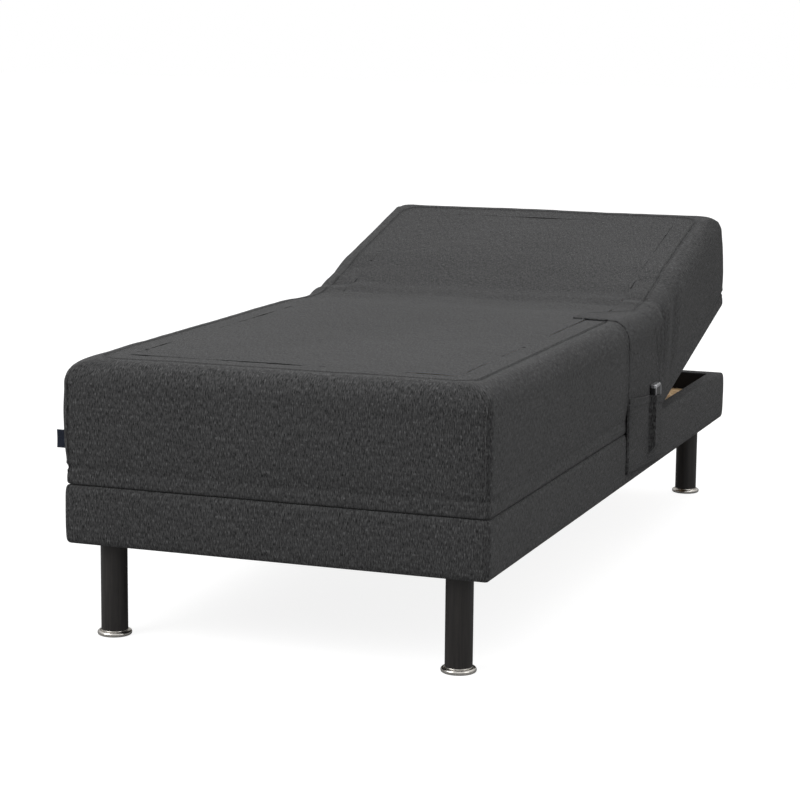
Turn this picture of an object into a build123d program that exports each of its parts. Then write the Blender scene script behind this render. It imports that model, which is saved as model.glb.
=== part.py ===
from build123d import *
import os
from math import sin, cos, tan, radians

# Adjustable single bed base, 90 x 200 cm, millimetres, +Z up, origin on the floor
# under the middle.  +X is the side that carries the handset pocket, -Y is the foot
# end, +Y the head end.  It is drawn as it stands in use: the back section raised
# BACK_REST degrees above flat, the leg sections flat.
os.makedirs("parts", exist_ok=True)

# ---------------------------------------------------------------- driving sizes
W = 900.0            # overall width
L = 2000.0           # overall length
HW, HL = W / 2, L / 2
Z_LEG = 195.0        # underside of the lower frame
Z_RAIL = 317.0       # top of the lower frame, and height of the hinge lines
Z_DECK = 350.0       # top of the deck panels (the stiff band round each section)
Z_TOP = 572.0        # top of the sprung sections
LIFT = 0.5           # clearance under the moving sections

Y_BACK = 286.0       # back hinge line
Y_THIGH = -120.0     # seat / thigh hinge line
Y_KNEE = -520.0      # knee hinge line
BACK_REST = 15.0     # back angle in the stored pose
BACK_MAX = 60.0      # back angle from flat, highest
THIGH_MAX = 30.0     # thigh angle, highest
CALF_RATIO = 1.82    # calf angle to the thigh per thigh angle

PAD = 7.0            # padding and cloth outside the timber rails
RAIL_T = 28.0        # timber rail thickness
LINING = 3.0         # lining cloth inside the rails
RAIL_TOTAL = PAD + RAIL_T + LINING
XI = HW - RAIL_TOTAL   # inner face of the side rails
YI = HL - RAIL_TOTAL   # inner face of the end rails
CORNER_R = 18.0

LEG_R = 27.5
LEG_X = 372.0
LEG_Y_FOOT, LEG_Y_HEAD = -940.0, 932.0
GLIDE_R = 35.5
GLIDE_H = 10.0

TUBE_R = 15.0        # torque tubes
TUBE_FIT = 0.06      # running clearance on the tubes
LEVER_R = 70.0       # torque lever, axis to nose
NOSE_R = 8.0
SLIDE_GAP = 0.6      # pusher face to lever nose

CADDY_Y0, CADDY_Y1 = 0.0, 305.0
CADDY_X = 451.0
CADDY_T = 4.0


def box(x0, x1, y0, y1, z0, z1):
    return Pos((x0 + x1) / 2, (y0 + y1) / 2, (z0 + z1) / 2) * Box(
        x1 - x0, y1 - y0, z1 - z0
    )


def cyl_x(x0, x1, y, z, r):
    return Pos((x0 + x1) / 2, y, z) * Rot(0, 90, 0) * Cylinder(r, x1 - x0)


def cyl_y(y0, y1, x, z, r):
    return Pos(x, (y0 + y1) / 2, z) * Rot(90, 0, 0) * Cylinder(r, y1 - y0)


def cyl_z(z0, z1, x, y, r):
    return Pos(x, y, (z0 + z1) / 2) * Cylinder(r, z1 - z0)


def prism_x(pts, x0, x1):
    """Extrude a closed polygon of (y, z) points along X."""
    wire = Polyline(*[(0, y, z) for y, z in pts], close=True)
    f = make_face(wire)
    s = extrude(f, amount=x1 - x0, dir=(1, 0, 0))
    return Pos(x0, 0, 0) * s


def prism_z(pts, z0, z1):
    wire = Polyline(*[(x, y, z0) for x, y in pts], close=True)
    return extrude(make_face(wire), amount=z1 - z0, dir=(0, 0, 1))


def turn(shape, y, z, deg):
    """Turn a shape about the X line through (y, z); positive lifts +Y."""
    return Pos(0, y, z) * Rot(deg, 0, 0) * Pos(0, -y, -z) * shape


def both(fn):
    """Two mirrored solids, right then left."""
    a = fn()
    return [a, mirror(a, about=Plane.YZ)]


NODES = {}


def node(name, *shapes):
    sol = []
    for s in shapes:
        for t in s if isinstance(s, (list, tuple)) else [s]:
            sol += list(t.solids())
    NODES[name] = sol


def raised(shape):
    return turn(shape, Y_BACK, Z_RAIL, BACK_REST)


# ================================================================ lower frame
def side_rail():
    return box(HW - PAD - RAIL_T, HW - PAD, -HL + PAD, HL - PAD, Z_LEG + 5, Z_RAIL - PAD)


def end_rail(s):
    y0, y1 = sorted([s * (HL - PAD - RAIL_T), s * (HL - PAD)])
    x = HW - PAD - RAIL_T
    return box(-x, x, y0, y1, Z_LEG + 5, Z_RAIL - PAD)


rail_r, rail_l = both(side_rail)
rail_head, rail_foot = end_rail(1), end_rail(-1)
node("side_rails", rail_r, rail_l)
node("end_rails", rail_head, rail_foot)


def side_cover():
    c = box(XI, HW, -HL, HL, Z_LEG, Z_RAIL)
    c = fillet(
        [e for e in c.edges().filter_by(Axis.Z) if e.center().X > HW - 1], CORNER_R
    )
    c = fillet(
        [
            e
            for e in c.edges()
            if abs(e.center().Z - Z_LEG) < 0.01 and e.center().X > HW - 30
            and not (abs(e.center().X - (HW + XI) / 2) < 12)
        ],
        3,
    )
    return c


def runner():
    """Nylon strip let into the rail top, for the calf glides."""
    return box(XI + 4, HW - 12, -HL + 8, -840, Z_RAIL - 2, Z_RAIL)


run_r, run_l = both(runner)
cov = side_cover()
cov_r = cov - rail_r - rail_head - rail_foot - run_r
cov_l = mirror(cov, about=Plane.YZ) - rail_l - rail_head - rail_foot - run_l
node("rail_covers_side", cov_r, cov_l)
node("rail_covers_end", box(-XI, XI, YI, HL, Z_LEG, Z_RAIL) - rail_head, box(-XI, XI, -HL, -YI, Z_LEG, Z_RAIL) - rail_foot)
node("glide_runners", run_r, run_l)

# corner blocks, glued and screwed inside each corner, carry the legs
BLOCK_TOP = 254.0


def corner_block(sx, sy):
    x0, x1 = XI - 92, XI
    y0, y1 = YI - 92, YI
    b = prism_z([(x0, y1), (x1, y1), (x1, y0), (x0 + 50, y0), (x0, y0 + 50)], Z_LEG, BLOCK_TOP)
    if sx < 0:
        b = mirror(b, about=Plane.YZ)
    if sy < 0:
        b = mirror(b, about=Plane.XZ)
    return b


LEGS = {
    "foot_right": (LEG_X, LEG_Y_FOOT),
    "foot_left": (-LEG_X, LEG_Y_FOOT),
    "head_right": (LEG_X, LEG_Y_HEAD),
    "head_left": (-LEG_X, LEG_Y_HEAD),
}
blocks, bolts, glides, legs = [], [], [], []
for name, (x, y) in LEGS.items():
    sx, sy = (1 if x > 0 else -1), (1 if y > 0 else -1)
    hole = cyl_z(Z_LEG - 45, BLOCK_TOP + 1, x, y, 4.1)
    blocks.append(corner_block(sx, sy) - hole)
    leg = cyl_z(GLIDE_H, Z_LEG, x, y, LEG_R)
    leg = chamfer(leg.edges().filter_by(GeomType.CIRCLE), 1.5)
    leg = leg - cyl_z(Z_LEG - 45, Z_LEG + 1, x, y, 4.1) - cyl_z(0, 32, x, y, 3.05)
    legs.append(leg)
    # hanger bolt with a nut and washer on top of the block
    head = Pos(x, y, BLOCK_TOP) * extrude(RegularPolygon(7.5, 6), 6.5)
    bolts.append(cyl_z(Z_LEG - 44, BLOCK_TOP + 8, x, y, 4.0) + head)
    g = cyl_z(0, GLIDE_H, x, y, GLIDE_R)
    g = fillet(g.edges().filter_by(GeomType.CIRCLE), 3.2)
    glides.append(g + cyl_z(GLIDE_H - 1, 31, x, y, 3.0))
node("corner_blocks", blocks)
node("leg_bolts", bolts)
node("legs", legs)
node("leg_glides", glides)

# head board panel on two ledgers, seen under the raised back
panel = box(-XI, XI, 700, YI, BLOCK_TOP, BLOCK_TOP + 18)
for s in (-1, 1):
    panel = panel - cyl_z(BLOCK_TOP - 1, BLOCK_TOP + 19, s * LEG_X, LEG_Y_HEAD, 11)
node("head_panel", panel)
node(
    "panel_ledgers",
    both(lambda: box(XI - 20, XI, 700, YI - 92, BLOCK_TOP - 22, BLOCK_TOP)),
)
# cross bearers under the drive
Z_BEAR = 230.0
node(
    "cross_bearers",
    box(-XI, XI, -75, -15, Z_BEAR - 30, Z_BEAR),
    box(-XI, XI, 190, 250, Z_BEAR - 30, Z_BEAR),
)

# ================================================================ sprung sections
A_BACK = BACK_MAX / 2 + 0.4      # half wedge at the back hinge, flat pose
A_THIGH = THIGH_MAX / 2 + 0.4    # half wedge at the thigh hinge
TOP_R = 30.0
DI = 12.0                        # deck and battens stand back from the cover's outside
DECK_R = 20.0


def round_outer(b, y):
    """Round the two upright corners at the outer end of a deck or batten."""
    return fillet([e for e in b.edges().filter_by(Axis.Z) if abs(e.center().Y - y) < 0.01], DECK_R)


def section(y0, y1, a0, a1, zb, outer0=False, outer1=False):
    """Cover, core, deck and battens of one section, drawn flat.

    y0 / y1 are the hinge lines or outer ends; a0 / a1 the half wedge angles."""
    g = 0.4

    def profile(off0, off1, z0, z1):
        a = [
            (y0 + (0 if outer0 else g) + (z - Z_RAIL) * tan(radians(a0)) + off0, z)
            for z in (z0, z1)
        ]
        b = [
            (y1 - (0 if outer1 else g) - (z - Z_RAIL) * tan(radians(a1)) - off1, z)
            for z in (z0, z1)
        ]
        return [a[0], b[0], b[1], a[1]]

    shell = prism_x(profile(0, 0, zb, Z_TOP), -HW, HW)
    edges = []
    for e in shell.edges():
        c = e.center()
        if abs(c.Z - Z_TOP) < 0.01 and abs(abs(c.X) - HW) < 0.01:
            edges.append(e)
        if outer0 and abs(c.Y - y0) < 0.01 and (abs(c.Z - Z_TOP) < 0.01 or abs(abs(c.X) - HW) < 0.01):
            edges.append(e)
        if outer1 and abs(c.Y - y1) < 0.01 and (abs(c.Z - Z_TOP) < 0.01 or abs(abs(c.X) - HW) < 0.01):
            edges.append(e)
    shell = fillet(edges, TOP_R)
    o0, o1 = (20 if outer0 else 9), (20 if outer1 else 9)
    core = prism_x(profile(o0, o1, Z_DECK, Z_TOP - 20), -HW + 20, HW - 20)
    d0 = y0 + (DI if outer0 else 0)
    d1 = y1 - (DI if outer1 else 0)
    deck_room = box(
        -HW + DI, HW - DI, d0 - (0 if outer0 else 60), d1 + (0 if outer1 else 60), zb - 5, Z_DECK
    )
    deck_room = round_outer(deck_room, d0 if outer0 else d1) if outer0 or outer1 else deck_room
    cover = shell - core - deck_room
    p0 = y0 + (DI if outer0 else (25 if a0 > 0 else 13))
    p1 = y1 - (DI if outer1 else (25 if a1 > 0 else 13))
    deck = box(-HW + DI, HW - DI, p0, p1, Z_DECK - 15, Z_DECK)
    if outer0 or outer1:
        deck = round_outer(deck, p0 if outer0 else p1)
    n = 4
    bw = 45.0
    battens = []
    for i in range(n):
        c = p0 + bw / 2 + (p1 - p0 - bw) * i / (n - 1)
        b = box(-HW + DI, HW - DI, c - bw / 2, c + bw / 2, zb, Z_DECK - 15)
        if (outer0 and i == 0) or (outer1 and i == n - 1):
            b = round_outer(b, p0 if outer0 else p1)
        battens.append(b)
    return cover, core, deck, battens


seat = section(Y_THIGH, Y_BACK, A_THIGH, A_BACK, Z_RAIL)
back = section(Y_BACK, HL, A_BACK, 0, Z_RAIL + LIFT, outer1=True)
thigh = section(Y_KNEE, Y_THIGH, 0, A_THIGH, Z_RAIL + LIFT)
calf = section(-HL, Y_KNEE, 0, 0, Z_RAIL + LIFT, outer0=True)

# the batten at the foot end stops short of two nylon glide blocks
c_bat = list(calf[3])
zb = Z_RAIL + LIFT
c_bat[0] = box(-XI + 1, XI - 1, -HL + DI, -HL + DI + 45, zb, Z_DECK - 15)


def glide_block():
    g = box(XI + 4, HW - 14, -HL + DI + 1, -HL + DI + 45, zb, Z_DECK - 15)
    g = fillet(
        [e for e in g.edges().filter_by(Axis.Z) if e.center().X > HW - 15 and e.center().Y < -HL + DI + 2], 18
    )
    return fillet(
        [e for e in g.edges().filter_by(Axis.X) if abs(e.center().Z - zb) < 0.01 and e.center().Y > -HL + DI + 10], 4
    )


node("calf_glides", both(glide_block))
calf = (calf[0], calf[1], calf[2], c_bat)

for nm, s in (("seat", seat), ("thigh", thigh), ("calf", calf)):
    node(nm + "_cover", s[0])
    node(nm + "_spring_core", s[1])
    node(nm + "_deck", s[2])
    node(nm + "_battens", s[3])
node("back_cover", raised(back[0]))
node("back_spring_core", raised(back[1]))
node("back_deck", raised(back[2]))
node("back_battens", [raised(b) for b in back[3]])


# soft fillers that fold in the wedges over the two hinge lines
def bend_foam(y, a_from, a_to):
    """Wedge of foam over a hinge; angles from vertical, positive towards +Y."""
    g0, g1 = radians(a_from), radians(a_to)
    h0, h1 = 36.0, Z_TOP - Z_RAIL - 32
    r_top = h1
    pts = [
        (y + h0 * tan(g0) + 3, Z_RAIL + h0),
        (y + h0 * tan(g1) - 3, Z_RAIL + h0),
        (y + r_top * tan(g1) - 3, Z_RAIL + r_top),
        (y + r_top * tan(g0) + 3, Z_RAIL + r_top),
    ]
    return prism_x(pts, -HW + 16, HW - 16)


node("back_bend_foam", bend_foam(Y_BACK, -A_BACK, A_BACK - BACK_REST))
node("thigh_bend_foam", bend_foam(Y_THIGH, -A_THIGH, A_THIGH))


# ================================================================ mechanism
def arm(x, y0, y1):
    return box(x - 15, x + 15, min(y0, y1), max(y0, y1), Z_RAIL + LIFT - 15, Z_RAIL + LIFT)


def tube(y):
    return cyl_x(-XI + 1, XI - 1, y, Z_RAIL, TUBE_R)


def lever(y, deg):
    """Two welded cheek plates and a nose pin; deg from straight down, + towards +Y."""
    parts = []
    for s in (-1, 1):
        a = prism_x(
            [(y - 17, Z_RAIL), (y + 17, Z_RAIL), (y + NOSE_R, Z_RAIL - LEVER_R), (y - NOSE_R, Z_RAIL - LEVER_R)],
            s * 17 - 3,
            s * 17 + 3,
        )
        parts.append(a)
    nose = cyl_x(-20, 20, y, Z_RAIL - LEVER_R, NOSE_R)
    body = parts[0] + parts[1] + nose - tube(y)
    return turn(body, y, Z_RAIL, deg)


# each torque frame is a tube with two lift arms and a lever welded on
BACK_LEVER_REST = -BACK_MAX / 2 + BACK_REST
THIGH_LEVER_REST = THIGH_MAX / 2
back_tube = tube(Y_BACK)
node(
    "back_torque_frame",
    back_tube,
    [raised(arm(s * 250, Y_BACK + 5, Y_BACK + 420) - back_tube) for s in (-1, 1)],
    lever(Y_BACK, BACK_LEVER_REST),
)
thigh_tube = tube(Y_THIGH)
node(
    "thigh_torque_frame",
    thigh_tube,
    [arm(s * 250, Y_THIGH - 5, Y_THIGH - 350) - thigh_tube for s in (-1, 1)],
    lever(Y_THIGH, THIGH_LEVER_REST),
)


# tube bearings on the side rails
def bearing(y):
    p = box(XI - 12, XI, y - 22, y + 22, Z_RAIL - 60, Z_RAIL) + cyl_x(XI - 12, XI, y, Z_RAIL, 22)
    return p - cyl_x(XI - 13, XI + 1, y, Z_RAIL, TUBE_R + TUBE_FIT)


node("tube_bearings", both(lambda: bearing(Y_BACK)), both(lambda: bearing(Y_THIGH)))

# knee hinges: leaf and two knuckles on the thigh deck, leaf and knuckle on the calf
KN_R, KP_R = 8.0, 4.0
KNEE_X = 310.0


def knee_leaf(side, spans):
    parts = None
    for x0, x1 in spans:
        k = cyl_x(x0, x1, Y_KNEE, Z_RAIL, KN_R)
        y0, y1 = (Y_KNEE, Y_KNEE + 70) if side > 0 else (Y_KNEE - 70, Y_KNEE)
        leaf = box(x0, x1, y0, y1, Z_RAIL + LIFT - 3, Z_RAIL + LIFT)
        k = k + leaf
        parts = k if parts is None else parts + k
    y0, y1 = (Y_KNEE + 14, Y_KNEE + 70) if side > 0 else (Y_KNEE - 70, Y_KNEE - 14)
    xs = [x for s in spans for x in s]
    parts = parts + box(min(xs), max(xs), y0, y1, Z_RAIL + LIFT - 3, Z_RAIL + LIFT)
    return parts


tl, cl, kp = [], [], []
for s in (-1, 1):
    c = s * KNEE_X
    sp_t = [(c - 36, c - 13), (c + 13, c + 36)]
    sp_c = [(c - 12.5, c + 12.5)]
    tl.append(knee_leaf(1, sp_t) - cyl_x(c - 40, c + 40, Y_KNEE, Z_RAIL, KP_R + 0.01))
    cl.append(knee_leaf(-1, sp_c) - cyl_x(c - 40, c + 40, Y_KNEE, Z_RAIL, KP_R + 0.06))
    kp.append(cyl_x(c - 36, c + 36, Y_KNEE, Z_RAIL, KP_R))
node("knee_leaves_thigh", tl)
node("knee_leaves_calf", cl)
node("knee_pins", kp)


# ================================================================ drive unit
DX, DY0, DY1 = 132.0, -180.0, 348.0
Z_LID = 297.0
tray = box(-DX, DX, DY0, DY1, Z_BEAR, Z_LID)
tray = fillet(tray.edges().filter_by(Axis.Z), 16)
tray = tray - box(-DX + 3, DX - 3, DY0 + 3, DY1 - 3, Z_BEAR + 3, Z_LID + 1)
INLET_X, INLET_Z = -80.0, 262.0
inlet_cut = box(INLET_X - 14, INLET_X + 14, DY1 - 5, DY1 + 5, INLET_Z - 10, INLET_Z + 10)
tray = tray - inlet_cut
lid = box(-DX, DX, DY0, DY1, Z_LID, Z_LID + 3)
lid = fillet(lid.edges().filter_by(Axis.Z), 16)
SLOT_B = (Y_BACK - 58, Y_BACK + 58)
SLOT_T = (Y_THIGH - 44, Y_THIGH + 44)
lid = lid - box(-24, 24, SLOT_B[0], SLOT_B[1], Z_LID - 1, Z_LID + 4)
lid = lid - box(-24, 24, SLOT_T[0], SLOT_T[1], Z_LID - 1, Z_LID + 4)
node("drive_tray", tray)
node("drive_lid", lid)

# power inlet: a recessed socket with two pins
inl = box(INLET_X - 14, INLET_X + 14, DY1 - 22, DY1 + 1.5, INLET_Z - 10, INLET_Z + 10)
inl = inl - box(INLET_X - 10, INLET_X + 10, DY1 - 16, DY1 + 2, INLET_Z - 6, INLET_Z + 6)
for s in (-1, 1):
    inl = inl + cyl_y(DY1 - 16, DY1 - 5, INLET_X + s * 4.3, INLET_Z, 1.2)
node("power_inlet", inl)


def nose(y_axis, deg):
    a = radians(deg)
    return y_axis + LEVER_R * sin(a), Z_RAIL - LEVER_R * cos(a)


NB = nose(Y_BACK, BACK_LEVER_REST)
NT = nose(Y_THIGH, THIGH_LEVER_REST)
Z_AX = 252.0          # height of the spindles
SCREW_R = 7.0

# back pusher: face on the foot side of the nose, pushes towards +Y
BF = NB[0] - NOSE_R - SLIDE_GAP
BP_LEN = 104.0
bp = box(-13, 13, BF - BP_LEN, BF, Z_AX - 14, Z_AX + 14)
bp = bp + box(-26, 26, BF - BP_LEN, BF - 26, Z_AX - 18.5, Z_AX - 9)
bp = bp - cyl_y(BF - BP_LEN - 1, BF - BP_LEN + 18, 0, Z_AX, SCREW_R + TUBE_FIT)
bp = bp - cyl_y(BF - BP_LEN + 17.9, BF - 6, 0, Z_AX, SCREW_R + 1.0)
node("back_pusher", bp)
# thigh pusher: face on the head side of the nose, pushes towards -Y
TF = NT[0] + NOSE_R + SLIDE_GAP
TP_LEN = 74.0
tp = box(-13, 13, TF, TF + TP_LEN, Z_AX - 14, Z_AX + 14)
tp = tp + box(-26, 26, TF + 22, TF + TP_LEN, Z_AX - 18.5, Z_AX - 9)
tp = tp - cyl_y(TF + TP_LEN - 18, TF + TP_LEN + 1, 0, Z_AX, SCREW_R + TUBE_FIT)
tp = tp - cyl_y(TF + 6, TF + TP_LEN - 17.9, 0, Z_AX, SCREW_R + 1.0)
node("thigh_pusher", tp)

# gearmotors, a block with the motor can standing out sideways
GB = (72.0, 104.0)    # back gearbox in y
GT = (8.0, 40.0)      # thigh gearbox in y


def gearmotor(y0, y1, s):
    blk = box(-32, 32, y0, y1, Z_BEAR + 3, Z_AX + 26)
    x0, x1 = sorted([s * 32, s * 124])
    can = cyl_x(x0, x1, (y0 + y1) / 2, Z_AX, 18.0)
    return blk + can


gmb = gearmotor(*GB, 1)
gmt = gearmotor(*GT, -1)
gmb = gmb - cyl_y(GB[0] + 10, GB[1] + 1, 0, Z_AX, SCREW_R + TUBE_FIT)
gmt = gmt - cyl_y(GT[0] - 1, GT[1] - 10, 0, Z_AX, SCREW_R + TUBE_FIT)
node("back_motor", gmb)
node("thigh_motor", gmt)
BS_END = 216.0
node("back_spindle", cyl_y(GB[0] + 10.2, BS_END, 0, Z_AX, SCREW_R))
node("thigh_spindle", cyl_y(-79.0, GT[1] - 10.2, 0, Z_AX, SCREW_R))

# ================================================================ caddy and handset
P_X0 = CADDY_X + CADDY_T          # inside face of the pocket
HS_Y0, HS_Y1 = 184.0, 234.0       # handset across
HS_Z0, HS_Z1 = 266.0, 404.0       # handset bottom and top
HS_X0, HS_X1 = P_X0 + 0.8, P_X0 + 14.8
PK_Z0, PK_Z1 = 217.0, 388.0       # pocket bottom seam and hem
PK_D = 18.5                       # depth of the handset pocket
MG_D = 9.0                        # depth of the flat pocket

panel = box(CADDY_X, CADDY_X + CADDY_T, CADDY_Y0, CADDY_Y1, PK_Z0, Z_TOP + 1 + CADDY_T)
tongue = box(CADDY_X - 130, CADDY_X, 8, 128, Z_TOP + 1, Z_TOP + 1 + CADDY_T)
node("caddy_panel", panel + tongue)

# pocket front, from the left seam over the flat pocket, the middle seam and the
# bulge over the handset to the right seam
prof_out = [
    (P_X0, 2.0),
    (P_X0 + MG_D + 2, 10.0),
    (P_X0 + MG_D + 2, 152.0),
    (P_X0 + 3, 166.0),
    (P_X0 + 3, 172.0),
    (P_X0 + PK_D, 179.0),
    (P_X0 + PK_D, 239.0),
    (P_X0 + 3, 246.0),
    (P_X0 + 3, 300.0),
    (P_X0, 303.0),
]
prof_in1 = [
    (P_X0, 10.0),
    (P_X0 + MG_D, 16.0),
    (P_X0 + MG_D, 146.0),
    (P_X0, 158.0),
]
prof_in2 = [
    (P_X0, 177.0),
    (P_X0 + PK_D - 2, 181.0),
    (P_X0 + PK_D - 2, 237.0),
    (P_X0, 241.0),
]
pk = prism_z(prof_out, PK_Z0, PK_Z1)
pk_in1 = prism_z(prof_in1, PK_Z0 + 8, PK_Z1 + 1)
pk_in2 = prism_z(prof_in2, HS_Z0 - 2, PK_Z1 + 1)
node("caddy_pocket", pk - pk_in1 - pk_in2)

hs = box(HS_X0, HS_X1, HS_Y0, HS_Y1, HS_Z0, HS_Z1 - 8)
hs = fillet(hs.edges().filter_by(Axis.Z), 4)
hs = fillet(hs.edges().filter_by(lambda e: abs(e.center().Z - HS_Z0) < 0.1), 2.5)
BTN_R, BTN_H = 5.0, 2.0
btn_pos = []
for r in range(3):
    for c in (-1, 1):
        btn_pos.append((c * 11.0 + (HS_Y0 + HS_Y1) / 2, HS_Z1 - 38.0 - r * 18.0))
for y, z in btn_pos:
    hs = hs - cyl_x(HS_X1 - 2.2, HS_X1 + 1, y, z, BTN_R + 0.35)
node("handset_shell", hs)
cap = box(HS_X0 + 0.5, HS_X1 - 0.5, HS_Y0 + 0.5, HS_Y1 - 0.5, HS_Z1 - 8, HS_Z1)
cap = fillet(cap.edges().filter_by(Axis.Z), 3.5)
cap = fillet(cap.edges().filter_by(lambda e: abs(e.center().Z - HS_Z1) < 0.1), 2.5)
node("handset_cap", cap)
BTN = ["back_up", "back_down", "legs_up", "legs_down", "both_up", "flat"]
for nm, (y, z) in zip(BTN, btn_pos):
    b = cyl_x(HS_X1 - 2.2 + 1.2, HS_X1 + BTN_H - 1.2, y, z, BTN_R)
    node("button_" + nm, b)

# label loop sewn into the left corner at the foot end
node("label_tab", box(-HW - 23, -440, -988.9, -987.1, 389, 427) - calf[0])

# ================================================================ write
total = 0
for name, sol in NODES.items():
    shp = sol[0] if len(sol) == 1 else Compound(children=list(sol))
    export_step(shp, "parts/%s.step" % name)
    total += 1
print("nodes", total)
print("back nose", NB, "thigh nose", NT, "faces", BF, TF)
print(
    "corner rise",
    [
        round(
            (Y_THIGH - Y_KNEE) * sin(radians(t))
            - 480 * sin(radians((CALF_RATIO - 1) * t)),
            2,
        )
        for t in (5, 10, 15, 20, 25, 30)
    ],
)
print("back pusher", [LEVER_R * sin(radians(d)) for d in (-30, -15, 0, 30)])
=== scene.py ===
"""Adjustable bed base, single: the looks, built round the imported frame."""

import math

import bpy
import bmesh
import numpy as np
from mathutils import Matrix, Vector, noise


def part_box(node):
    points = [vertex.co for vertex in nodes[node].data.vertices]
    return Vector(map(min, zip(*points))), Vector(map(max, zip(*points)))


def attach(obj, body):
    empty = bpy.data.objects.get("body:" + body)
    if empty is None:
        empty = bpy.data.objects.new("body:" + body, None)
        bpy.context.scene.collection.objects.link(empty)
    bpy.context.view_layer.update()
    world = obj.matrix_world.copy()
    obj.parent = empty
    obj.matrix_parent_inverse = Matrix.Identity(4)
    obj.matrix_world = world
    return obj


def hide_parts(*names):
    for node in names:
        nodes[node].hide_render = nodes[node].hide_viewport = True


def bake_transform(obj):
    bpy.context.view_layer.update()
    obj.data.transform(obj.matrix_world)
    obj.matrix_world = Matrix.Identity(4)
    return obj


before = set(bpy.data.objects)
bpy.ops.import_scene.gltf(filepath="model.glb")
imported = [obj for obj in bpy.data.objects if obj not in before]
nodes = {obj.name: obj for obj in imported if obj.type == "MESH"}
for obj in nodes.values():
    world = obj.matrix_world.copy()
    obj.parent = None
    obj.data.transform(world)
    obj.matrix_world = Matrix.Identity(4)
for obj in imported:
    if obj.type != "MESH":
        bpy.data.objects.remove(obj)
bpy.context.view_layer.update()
scene = bpy.context.scene

# ------------------------------------------------------------------ sizes, metres
HW, HL = 0.450, 1.000            # half width, half length
HY, HZ = 0.286, 0.317            # back hinge line
THY, KNY = -0.120, -0.520        # thigh and knee hinge lines
REST = math.radians(15.0)        # back section above flat
Z_BOT, Z_PINCH, Z_TOP = 0.3177, 0.3505, 0.572
XC, YC = 0.350, 0.900            # where the corner part of an outline begins
CUT_A, CUT_B = 0.0255, -0.265    # cover pieces meet here, clear of any bending
A0, A1 = 0.036, 0.536            # back bend, along y


def link(o):
    scene.collection.objects.link(o)
    return o


def smooth(e0, e1, v):
    t = np.clip((v - e0) / (e1 - e0), 0, 1)
    return t * t * (3 - 2 * t)


def bell(v, c, s):
    return np.exp(-(((v - c) / s) ** 2))


def fbm(p, scale, seed, octaves=3):
    """Smooth noise about -1..1 at each row of p."""
    out = np.zeros(len(p))
    off = Vector((seed * 13.7, seed * 7.3, seed * 3.1))
    for i, q in enumerate(p):
        out[i] = noise.fractal(Vector(q) * scale + off, 1.0, 2.0, octaves)
    return out


# ------------------------------------------------------------------ mesh helpers
def make(name, verts, faces, mats, uv=None, index=None, flat=False):
    """Object from arrays. uv holds one pair per face corner."""
    me = bpy.data.meshes.new(name)
    me.from_pydata([tuple(v) for v in verts], [], [tuple(f) for f in faces])
    for m in mats:
        me.materials.append(m)
    if index is not None:
        me.polygons.foreach_set("material_index", np.array(index, np.int32))
    if not flat:
        me.polygons.foreach_set("use_smooth", np.ones(len(me.polygons), bool))
    if uv is not None:
        lay = me.uv_layers.new(name="UVMap")
        lay.data.foreach_set("uv", np.array(uv, np.float32).ravel())
    me.update()
    return link(bpy.data.objects.new(name, me))


def merge(o, dist=1e-5):
    bm = bmesh.new()
    bm.from_mesh(o.data)
    bmesh.ops.remove_doubles(bm, verts=bm.verts, dist=dist)
    bmesh.ops.dissolve_degenerate(bm, edges=bm.edges, dist=1e-6)
    bm.to_mesh(o.data)
    bm.free()
    o.data.update()
    return o


def recalc(o):
    bm = bmesh.new()
    bm.from_mesh(o.data)
    bmesh.ops.recalc_face_normals(bm, faces=bm.faces)
    bm.to_mesh(o.data)
    bm.free()
    o.data.update()
    return o


def coords(o):
    return np.array([v.co for v in o.data.vertices], float).reshape(-1, 3)


def normals(o):
    o.data.update()
    return np.array([v.normal for v in o.data.vertices], float).reshape(-1, 3)


def set_coords(o, co):
    o.data.vertices.foreach_set("co", np.asarray(co, np.float32).ravel())
    o.data.update()


def grid_faces(n, m, closed_n=False, closed_m=False, flip=False):
    """Quads of an n by m vertex grid, row by row, and their (i, j) corners."""
    f, ij = [], []
    for i in range(n if closed_n else n - 1):
        for j in range(m if closed_m else m - 1):
            a, b = i, (i + 1) % n
            c, d = j, (j + 1) % m
            q = [a * m + c, b * m + c, b * m + d, a * m + d]
            k = [(i, j), (i + 1, j), (i + 1, j + 1), (i, j + 1)]
            if flip:
                q.reverse(); k.reverse()
            f.append(q); ij.append(k)
    return f, ij


def ring(d, r, xs, ys, nc):
    """Rounded rectangle d inside the nominal outline, anticlockwise from the front left.

    Points at the same place in the list belong together at every d and r."""
    hx, hy = HW - d, HL - d
    lx, ly = hx - XC, hy - YC
    r = max(min(r, lx, ly), 1e-6)
    t = np.linspace(0, 1, nc + 2)[1:-1]
    if nc == NC:          # points crowd round the upright seam
        t = np.r_[np.linspace(0, 0.40, 10)[1:], np.linspace(0.40, 0.52, 26)[1:], np.linspace(0.52, 1, 14)[1:-1]]
    la, lb, lc = lx - r, math.pi * r / 2, ly - r
    tot = la + lb + lc
    cx, cy = [], []
    for s in t * tot:
        if s < la:
            cx.append(XC + s); cy.append(hy)
        elif s < la + lb:
            a = (s - la) / r
            cx.append(hx - r + r * math.sin(a)); cy.append(hy - r + r * math.cos(a))
        else:
            cx.append(hx); cy.append(hy - r - (s - la - lb))
    cx, cy = np.array(cx), np.array(cy)
    p = [
        np.c_[xs, np.full(len(xs), -hy)],
        np.c_[cx, -cy],
        np.c_[np.full(len(ys), hx), ys],
        np.c_[cx[::-1], cy[::-1]],
        np.c_[xs[::-1], np.full(len(xs), hy)],
        np.c_[-cx, cy],
        np.c_[np.full(len(ys), -hx), ys[::-1]],
        np.c_[-cx[::-1], -cy[::-1]],
    ]
    return np.vstack(p)


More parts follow.
